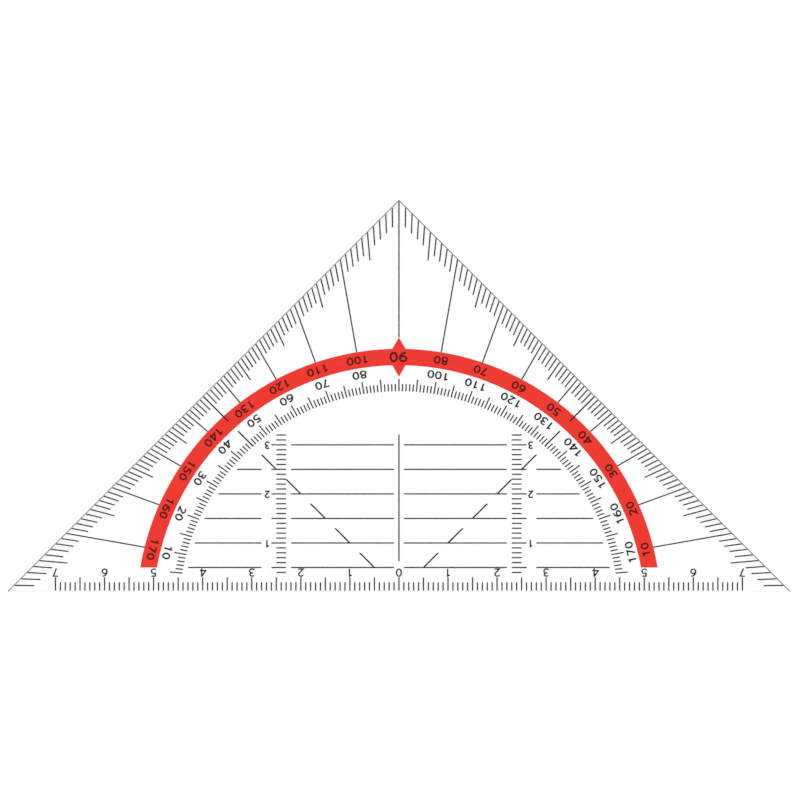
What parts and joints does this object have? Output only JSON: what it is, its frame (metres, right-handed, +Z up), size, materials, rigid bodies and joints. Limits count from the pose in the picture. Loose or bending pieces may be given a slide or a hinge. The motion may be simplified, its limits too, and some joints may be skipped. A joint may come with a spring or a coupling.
{
  "type": "flexible set square",
  "caption": "Clear flexible right-angled set square with a millimetre rule on its long edge, degree scales on both short sides, a red protractor band and a drawing grid.",
  "frame": {"origin": "the zero mark: middle of the long edge, on the underside that lies on the paper", "axes": "+X along the long edge to the right as seen from above, +Y square to it towards the right-angled corner, +Z up, out of the paper"},
  "size_m": [0.1594, 0.0799, 0.0015],
  "materials": {
    "clear_plastic": "clear, polished faces, fine ground bevels",
    "red_ink": "satin ink",
    "black_ink": "satin ink"
  },
  "bodies": {
    "root": {"plate": "clear_plastic", "protractor_band": "red_ink", "right_side_scale": "black_ink", "left_side_scale": "black_ink", "degree_ring": "black_ink", "long_edge_rule": "black_ink", "height_line": "black_ink", "right_offset_rule": "black_ink", "left_offset_rule": "black_ink", "right_parallel_lines": "black_ink", "left_parallel_lines": "black_ink", "right_diagonal": "black_ink", "left_diagonal": "black_ink"}
  },
  "joints": []
}
